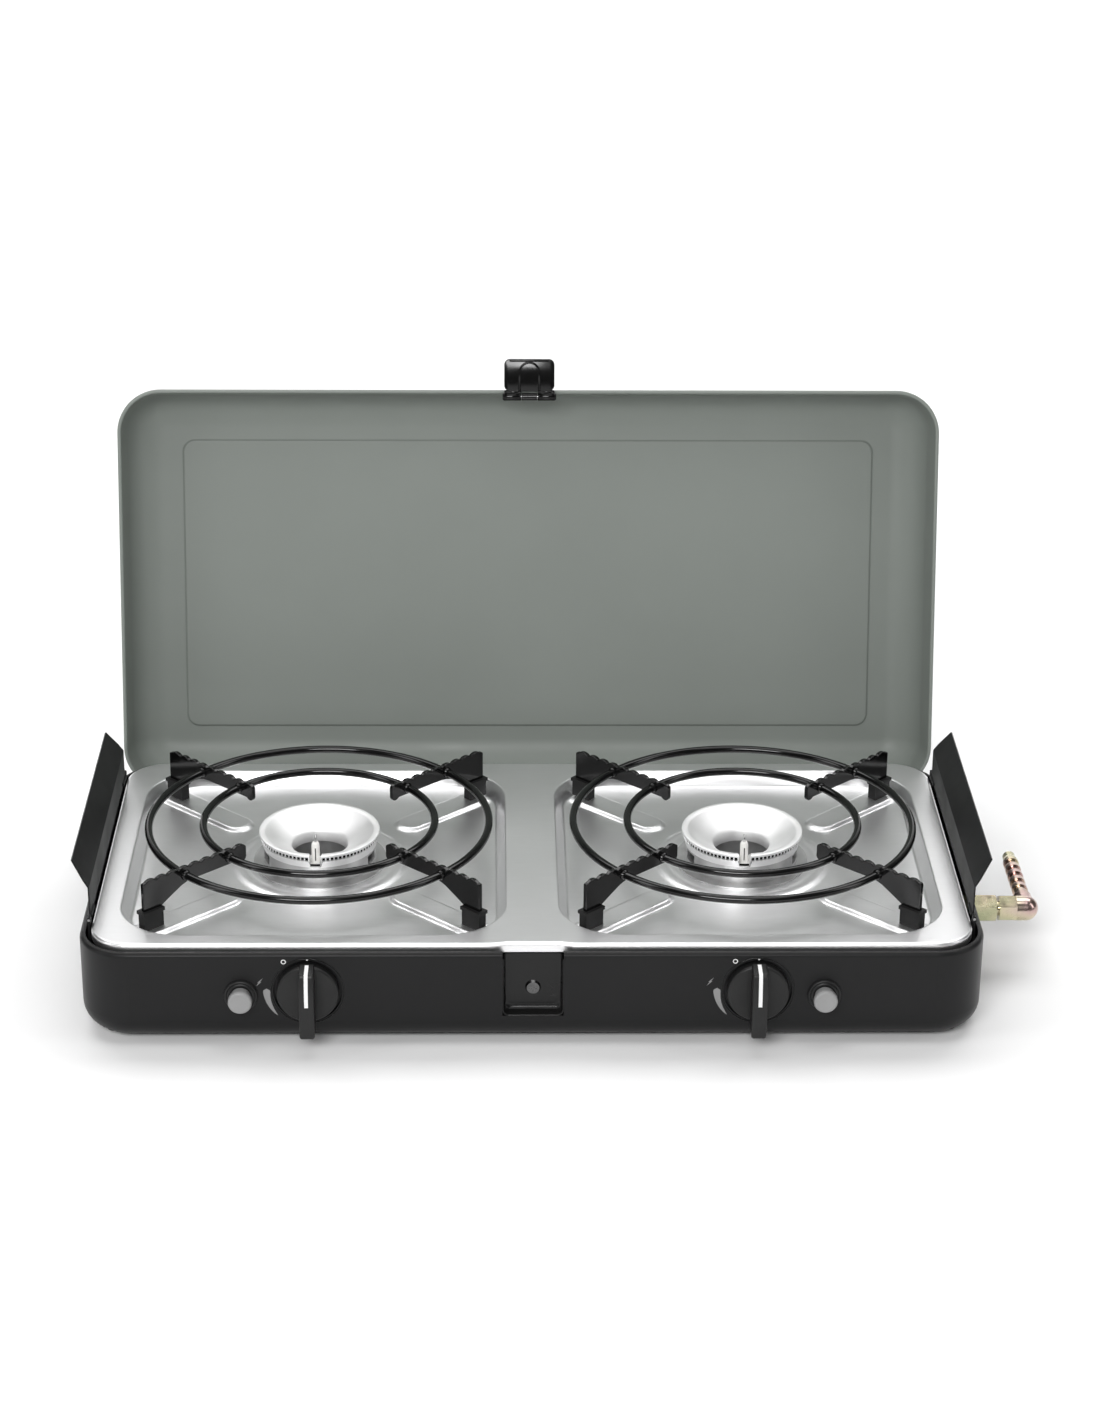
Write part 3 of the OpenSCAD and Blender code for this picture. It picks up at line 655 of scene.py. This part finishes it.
def build_arms(side, s):
    """pressed arms with rounded scallops and edges, 3 mm sheet"""
    az = 101.5
    pts = [(65.6, 91.4), (66.3, 89.8), (67.4, 88.9), (69, 88.6), (70.6, 89.2), (72, 90.2), (92, 90.2), (112, 90.2), (117, 89.6),
           (121, 88.3), (130, 83.8), (138.6, 79.2), (139.6, 78.2), (139.8, 77), (139.8, 69), (152.4, 69), (152.4, az - 2.6), (151.9, az - 1.9), (151.0, az - 1.6)]
    # top edge with nine scallops, from outside in
    for k in range(8, -1, -1):
        c = 71.0 + k * 9.35
        for q in range(9):
            a = math.radians(38.7 - 77.4 * q / 8)
            pts.append((c + 7.27 * math.sin(a), az - 7.27 + 7.27 * math.cos(a)))
    pts += [(65.8, az - 2.2), (65.6, az - 3.2)]
    # drop repeated points
    clean = []
    for p in pts:
        if not clean or math.hypot(p[0] - clean[-1][0], p[1] - clean[-1][1]) > 0.05:
            clean.append(p)
    verts, faces = [], []
    for i in (-1, 1):
        for j in (-1, 1):
            a = math.atan2(j * math.sin(PHI), i * math.cos(PHI))
            b = len(verts)
            n = len(clean)
            for h in (-1.5, 1.5):
                for u, z in clean:
                    verts.append(W(s * CX + u * math.cos(a) - h * math.sin(a), u * math.sin(a) + h * math.cos(a), z))
            faces.append(tuple(b + k for k in range(n)))
            faces.append(tuple(b + n + k for k in range(n))[::-1])
            for k in range(n):
                q = (k + 1) % n
                faces.append((b + k, b + q, b + n + q, b + n + k))
    o = make("arms_" + side, verts, faces, "enamel", "support_" + side, rep=("support_arms_" + side,), sharp=40)
    bv = o.modifiers.new("bevel", "BEVEL")
    bv.width = 0.45 * MM
    bv.segments = 3
    bv.limit_method = "ANGLE"
    bv.angle_limit = math.radians(50)
    weighted(o)
    # weld beads where the rings pass through the arms
    bl, fl = [], []
    for i in (-1, 1):
        for j in (-1, 1):
            a = math.atan2(j * math.sin(PHI), i * math.cos(PHI))
            for R in (117.3, 79.8):
                for side_h in (-1, 1):
                    b = len(bl)
                    n = 18
                    cxp = s * CX + R * math.cos(a)
                    cyp = R * math.sin(a)
                    for q, (rr, hh) in enumerate(((3.5, 1.35), (3.7, 1.7), (3.4, 2.3), (2.95, 3.1), (2.6, 3.6))):
                        for k in range(n):
                            t = 2 * math.pi * k / n
                            wob = 1 + 0.05 * math.sin(3 * t + R + i * 2 + j)
                            u = rr * wob * math.cos(t)
                            z = 95 + rr * wob * math.sin(t)
                            h = side_h * hh
                            bl.append(W(cxp + u * math.cos(a) - h * math.sin(a), cyp + u * math.sin(a) + h * math.cos(a), z))
                    for q in range(4):
                        for k in range(n):
                            k2 = (k + 1) % n
                            fl.append((b + q * n + k, b + q * n + k2, b + (q + 1) * n + k2, b + (q + 1) * n + k))
                    fl.append(tuple(b + k for k in range(n)))
                    fl.append(tuple(b + 4 * n + k for k in range(n))[::-1])
    make("welds_" + side, bl, fl, "enamel", "support_" + side)


build_arms("left", -1)
build_arms("right", 1)


# ---------------------------------------------------------------- knobs
def build_knob(side, s):
    cx, cz = s * 148, 42.6

    def ring(r, y, n=128):
        return [W(cx + r * math.cos(2 * math.pi * k / n), y, cz + r * math.sin(2 * math.pi * k / n)) for k in range(n)]
    prof = [(3.1, -139.4), (6.4, -139.4), (6.4, -142.8), (19.9, -142.8), (20.4, -143.1), (20.5, -143.7), (20.5, -148.4), (20.35, -149.1),
            (19.9, -149.7), (19.2, -150.1), (18.4, -150.2), (12.0, -150.3), (3.1, -150.3)]
    loops = [ring(r, y) for r, y in prof]
    v, f = loft(loops)
    make("knob_skirt_" + side, v, f, "knob", "knob_" + side, rep=("knob_" + side,), sharp=45)
    # grip bar: rounded box with a domed front, lofted along its length
    loops = []
    L0, L1 = -25.9, 21.4
    n = 40
    zs = [L0, L0 + 0.25, L0 + 0.7, L0 + 1.4, L0 + 2.4] + [L0 + 2.4 + (L1 - 2.4 - L0 - 2.4) * k / 26 for k in range(1, 26)] + [L1 - 2.4, L1 - 1.4, L1 - 0.7, L1 - 0.25, L1]
    for z in zs:
        e0, e1 = z - L0, L1 - z
        k = min(e0, e1, 2.4) / 2.4
        sh = math.sqrt(max(0.0, 1 - (1 - k) ** 2))
        hw = 5.0 - 0.9 * (1 - sh)
        # domed over the upper half, nearly flat down to the longer lower end
        fy = -107 - math.sqrt(max(0, 62.6 ** 2 - z * z)) + 3.6 if z > 0 else -166.0 + 1.6 * (z / 25.9) ** 2
        fy = max(fy, -166.0)
        fy += 1.3 * (1 - sh)
        back = -147.9
        depth = back - fy
        lp = []
        rr = 1.3
        outline = [(hw, back), (hw, fy + rr)] + [(hw - rr + rr * math.cos(math.radians(a)), fy + rr - rr * math.sin(math.radians(a))) for a in (20, 40, 60, 80, 90)]
        outline += [(hw * 0.5, fy - 0.0), (0, fy - 0.0), (-hw * 0.5, fy)]
        outline += [(-(hw - rr + rr * math.cos(math.radians(a))), fy + rr - rr * math.sin(math.radians(a))) for a in (90, 80, 60, 40, 20)]
        outline += [(-hw, fy + rr), (-hw, back)]
        loops.append([W(cx + x, y, cz + z) for x, y in outline])
    v, f = loft(loops, close=False)
    m = len(loops[0])
    f.append(tuple(range(m))[::-1])
    f.append(tuple((len(loops) - 1) * m + k for k in range(m)))
    o = make("knob_grip_" + side, v, f, "knob", "knob_" + side)
    weighted(o)
    # white pointer that follows the front of the grip over its upper half, and the skirt's top
    w = 1.25
    lo = []
    zz = [-0.8 + 21.4 * k / 24 for k in range(25)]
    for z in zz:
        fy = max(-107 - math.sqrt(max(0, 62.6 ** 2 - z * z)) + 3.6, -166.0)
        e1 = L1 - z
        k = min(e1, 2.4) / 2.4
        fy += 1.3 * (1 - math.sqrt(max(0.0, 1 - (1 - k) ** 2)))
        lo.append([W(cx - w, fy - 0.12, cz + z), W(cx + w, fy - 0.12, cz + z), W(cx + w, fy + 0.4, cz + z), W(cx - w, fy + 0.4, cz + z)])
    # over the shoulder of the bar, back to the skirt
    for y, z in ((-161.95, L1 - 0.3), (-161.35, L1 + 0.02), (-160.8, L1 + 0.1)):
        lo.append([W(cx - w, y, cz + z), W(cx + w, y, cz + z), W(cx + w, y + 0.35, cz + z - 0.4), W(cx - w, y + 0.35, cz + z - 0.4)])
    for y in (-160, -156, -152, -149.0):
        lo.append([W(cx - w, y, cz + L1 + 0.1), W(cx + w, y, cz + L1 + 0.1), W(cx + w, y, cz + L1 - 0.4), W(cx - w, y, cz + L1 - 0.4)])
    v, f = loft(lo, close=False)
    f.append((0, 1, 2, 3))
    b = (len(lo) - 1) * 4
    f.append((b, b + 1, b + 2, b + 3))
    make("pointer_line_" + side, v, f, "white", "knob_" + side, rep=("pointer_" + side,), smooth=False)


build_knob("left", -1)
build_knob("right", 1)


# ---------------------------------------------------------------- igniter buttons: domed caps
def build_button(side, s):
    cx, cz = s * 192, 39.5
    prof = [(0.01, -156.3), (3.0, -156.35), (5.4, -156.5), (6.6, -156.55), (7.2, -156.4), (7.6, -156.0), (7.85, -155.3), (7.9, -154.4),
            (7.9, -152.2), (7.7, -152.0), (6.5, -152.0), (6.5, -131.2), (6.3, -131.0), (0.01, -131.0)]
    n = 72
    loops = [[W(cx + r * math.cos(2 * math.pi * k / n), y, cz + r * math.sin(2 * math.pi * k / n)) for k in range(n)] for r, y in prof]
    v, f = loft(loops, close=False)
    o = make("button_cap_" + side, v, f, "button", "button_" + side, rep=("piezo_button_" + side,), sharp=50)


build_button("left", -1)
build_button("right", 1)


def build_bezels():
    vs, fs = [], []
    for s in (-1, 1):
        cx, cz = s * 192, 39.5
        prof = [(6.62, -143.9), (6.62, -147.0), (6.8, -147.2), (8.3, -147.25), (8.7, -147.0), (9.1, -146.75), (9.5, -147.0), (9.9, -147.15),
                (10.5, -147.05), (11.0, -146.6), (11.2, -146.0), (11.2, -145.02), (8.1, -145.0), (8.1, -143.9)]
        n = 80
        loops = [[W(cx + r * math.cos(2 * math.pi * k / n), y, cz + r * math.sin(2 * math.pi * k / n)) for k in range(n)] for r, y in prof]
        v, f = loft(loops)
        b = len(vs)
        vs += v
        fs += [tuple(b + i for i in q) for q in f]
    make("button_bezels", vs, fs, "knob", "base", rep=("piezo_bezels",), sharp=60)


build_bezels()


# ---------------------------------------------------------------- printed marks on the front
def flat_mark(name, polys, mat):
    """thin print, 0.06 mm proud of the front face"""
    vs, fs = [], []
    for pts in polys:
        b, n = len(vs), len(pts)
        for y in (-145.06, -144.9):
            vs += [W(x, y, z) for x, z in pts]
        fs.append(tuple(b + k for k in range(n)))
        fs.append(tuple(b + n + k for k in range(n))[::-1])
        for k in range(n):
            q = (k + 1) % n
            fs.append((b + k, b + q, b + n + q, b + n + k))
    return make(name, vs, fs, mat, "base", smooth=False)


def circ(cx, cz, r, n=28):
    return [(cx + r * math.cos(2 * math.pi * k / n), cz + r * math.sin(2 * math.pi * k / n)) for k in range(n)]


def ring_mark(cx, cz, r0, r1, n=32):
    out = []
    for k in range(n):
        a, b = 2 * math.pi * k / n, 2 * math.pi * (k + 1) / n
        out.append([(cx + r0 * math.cos(a), cz + r0 * math.sin(a)), (cx + r1 * math.cos(a), cz + r1 * math.sin(a)),
                    (cx + r1 * math.cos(b), cz + r1 * math.sin(b)), (cx + r0 * math.cos(b), cz + r0 * math.sin(b))])
    return out


for side, s in (("left", -1), ("right", 1)):
    kx, kz = s * 148, 42.6
    # closed position: a plain ring
    flat_mark("mark_off_" + side, ring_mark(kx - 15.5, kz + 21.8, 1.1, 1.7), "white")
    # tapered wedge from nine o'clock to half past seven
    R = 27.0
    outer, inner = [], []
    for k in range(17):
        t = k / 16
        a = math.radians(176 + 46 * t)
        w = 2.5 * min(1.0, math.sqrt(max(0.0, 1 - (1 - t / 0.12) ** 2)) if t < 0.12 else 1.0) * (1 - t) ** 0.75 + 0.1
        outer.append((kx + (R + w) * math.cos(a), kz + (R + w) * math.sin(a)))
        inner.append((kx + (R - w) * math.cos(a), kz + (R - w) * math.sin(a)))
    flat_mark("mark_range_" + side, [outer + inner[::-1]], "mark")
    bx, bz = kx - 31.6, kz + 6.6
    flat_mark("mark_spark_" + side, [[(bx + 2.3, bz + 3.0), (bx - 1.3, bz - 0.2), (bx + 0.2, bz - 0.1)], [(bx - 2.3, bz - 3.0), (bx + 1.3, bz + 0.3), (bx - 0.2, bz + 0.1)]], "mark")
    flat_mark("mark_index_" + side, [circ(kx, kz + 23.4, 0.7)], "white")

# ---------------------------------------------------------------- latch flap
def build_latch():
    """flap with rounded free corners, a lip and a barrel with chamfered ends (drawn in the shut place); the arched rib
    is added after it
    """
    ly, lz = -141.5, 67.9
    vs, fs = [], []

    def add(loops):
        v, f = loft(loops, close=False)
        b, n = len(vs), len(loops[0])
        vs.extend(v)
        fs.extend(tuple(b + i for i in q) for q in f)
        fs.append(tuple(b + k for k in range(n))[::-1])
        m = b + (len(loops) - 1) * n
        fs.append(tuple(m + k for k in range(n)))

    # plate
    add([[lid_frame((x, ly - 15.75 + y, lz + z)) for x, y in rr_loop(18.2 - i, 11.55 - i, 4.2 - i, 10, 4, 4)]
         for z, i in ((-2.5, 0.55), (-2.34, 0.16), (-1.95, 0.0), (1.45, 0.0), (1.84, 0.16), (2.0, 0.55))])
    # lip along the free edge
    add([[lid_frame((x, ly - 26.2 + r * math.cos(t), lz - 2.5 + r * math.sin(t))) for t in [2 * math.pi * k / 14 for k in range(14)]]
         for x, r in ((-14.4, 0.2), (-14.2, 0.75), (-13.6, 0.95), (13.6, 0.95), (14.2, 0.75), (14.4, 0.2))])
    # barrel and bridges either side of the lug
    for j in (-1, 1):
        add([[lid_frame((j * x, ly + r * math.cos(t), lz + r * math.sin(t) * j)) for t in [2 * math.pi * k / 28 for k in range(28)]]
             for x, r in ((5.95, 2.5), (6.3, 2.95), (18.4, 2.95), (19.4, 2.1))])
        add([[lid_frame((j * 12.1 + x, ly - 3.4 + y, lz + z)) for x, y in rr_loop(6.0, 1.4, 0.3, 3, 1, 1)] for z in (-2.4, 1.9)])
    return make("latch_flap", vs, fs, "gloss", "latch", rep=("latch",))


build_latch()
leg = [(7.1, -141.5 - 4.5), (7.1, -141.5 - 17.6)]
arch = [(7.1 * math.cos(math.radians(a)), -141.5 - 17.6 - 7.1 * math.sin(math.radians(a))) for a in range(10, 171, 10)]
tube("latch_rib", [lid_frame((x, y, 65.35)) for x, y in leg + arch + [(-x, y) for x, y in leg[::-1]]], 0.85, "gloss", "latch", n=12)

for side, s in (("left", -1), ("right", 1)):
    tube("knob_recess_" + side, [W(s * 148 + 24.0 * math.sin(math.radians(a)), -144.95, 42.6 + 24.0 * math.cos(math.radians(a))) for a in range(0, 361, 5)],
         0.42, "gloss", "base", n=8)
    # the slot in the ceramic is only this dark line of painted shade
    gr = tube("electrode_groove_shade_" + side, [W(s * CX - 1, -35.75, z) for z in (81.5, 84, 87, 90, 92)], 0.36, "painted_shade", "base", n=8)


def build_pocket():
    """drawn lining of the latch pocket: rounded lower corners and a sloped shelf"""
    def ring(y, ins, drop, r):
        x1, z0, z1 = 20.0 - ins, 23.8 + drop, 66.2
        pts = [(x1, z1), (-x1, z1)]
        pts += [(-x1 + r + r * math.cos(math.radians(a)), z0 + r + r * math.sin(math.radians(a))) for a in range(180, 271, 10)]
        pts += [(x1 - r + r * math.cos(math.radians(a)), z0 + r + r * math.sin(math.radians(a))) for a in range(270, 361, 10)]
        return [W(x, y, z) for x, z in pts]
    front = [(-144.95, -0.1, -0.2, 4.0), (-145.12, 0.1, 0.0, 4.0), (-145.05, 0.4, 0.4, 3.8), (-144.3, 0.8, 0.8, 3.6), (-139.6, 0.95, 1.5, 3.6),
             (-138.2, 1.2, 2.0, 4.0), (-137.3, 1.9, 3.0, 4.4), (-136.85, 3.2, 4.8, 4.2)]
    loops = [ring(*f) for f in front]
    v, f = loft(loops, close=False)
    n = len(loops[0])
    m = (len(loops) - 1) * n
    # open at the top, under the hob's edge
    f = [q for q in f if not {i % n for i in q} == {0, 1}]
    f.append(tuple(m + k for k in range(n)))
    # its enamel is darker than the base's: painted shade in the pocket
    o = make("pocket_lining", v, f, "lining", "base")
    t = o.modifiers.new("thick", "SOLIDIFY")
    t.thickness = 0.12 * MM
    t.offset = 0.0
    weighted(o)
    return o


build_pocket()

# ---------------------------------------------------------------- camera
cam_data = bpy.data.cameras.new("camera")
cam = bpy.data.objects.new("camera", cam_data)
bpy.context.scene.collection.objects.link(cam)
bpy.context.scene.camera = cam
p, y, r = math.radians(24.42), math.radians(1.17), math.radians(0.48)
fwd = Vector((math.sin(y) * math.cos(p), math.cos(y) * math.cos(p), -math.sin(p)))
right = Vector((math.cos(y), -math.sin(y), 0))
up = right.cross(fwd)
r2 = right * math.cos(r) + up * math.sin(r)
u2 = -right * math.sin(r) + up * math.cos(r)
cam.matrix_world = Matrix.Translation(W(-27.21, -1943.66, 1061.43)) @ Matrix((r2, u2, -fwd)).transposed().to_4x4()
cam_data.sensor_width = 36
cam_data.lens = 3131.4 * 36 / 1422
cam_data.clip_start, cam_data.clip_end = 0.05, 50

# ---------------------------------------------------------------- floor and light
def stage_plane():
    me = bpy.data.meshes.new("floor")
    n, pts = 24, []
    prof = [(-6.0, 0.0), (3.0, 0.0)] + [(3.0 + 1.5 * math.sin(math.radians(a)), 1.5 - 1.5 * math.cos(math.radians(a))) for a in range(6, 91, 6)] + [(4.5, 7.0)]
    vs, fs = [], []
    for yy, zz in prof:
        for xx in (-8, 8):
            vs.append((xx, yy, zz))
    for k in range(len(prof) - 1):
        fs.append((2 * k, 2 * k + 1, 2 * k + 3, 2 * k + 2))
    me.from_pydata(vs, [], fs)
    for q in me.polygons:
        q.use_smooth = True
    o = bpy.data.objects.new("floor", me)
    bpy.context.scene.collection.objects.link(o)
    m = Mat("pale_floor")
    m.color(m.ramp(m.noise(2, 2), [(0.3, (0.90, 0.90, 0.90)), (0.7, (0.915, 0.915, 0.915))]))
    m.set(Roughness=0.7, Specular_IOR_Level=0.1)
    me.materials.append(m.m)


stage_plane()

world = bpy.data.worlds.new("world")
bpy.context.scene.world = world
world.use_nodes = True
bg = world.node_tree.nodes["Background"]
bg.inputs["Color"].default_value = (1, 1, 1, 1)
bg.inputs["Strength"].default_value = 0.10


def area(name, loc, target, sx, sy, watts, col=(1, 1, 1)):
    d = bpy.data.lights.new(name, "AREA")
    d.shape = "RECTANGLE"
    d.size, d.size_y = sx, sy
    d.energy = watts
    d.color = col
    o = bpy.data.objects.new(name, d)
    o.location = loc
    o.rotation_euler = (Vector(target) - Vector(loc)).to_track_quat("-Z", "Y").to_euler()
    bpy.context.scene.collection.objects.link(o)
    return o


area("key_top", (0.0, 0.7, 1.8), (0, -0.1, 0.07), 3.0, 1.0, 31)
area("fill_top", (0.0, -0.5, 2.1), (0, 0.0, 0.05), 1.6, 0.8, 8)
area("left_box", (-2.0, -0.9, 1.1), (0, 0, 0.1), 0.6, 1.6, 9)
area("right_box", (2.0, -0.7, 1.2), (0, 0, 0.1), 0.5, 1.6, 7)
area("front_box", (-0.5, -2.5, 1.75), (0, 0.15, 0.25), 1.5, 0.6, 53)
area("back_wash", (0.0, 2.2, 2.6), (0, 4.2, 0.9), 5.0, 1.0, 130)

bpy.context.scene.view_settings.view_transform = "Standard"

bpy.context.view_layer.update()
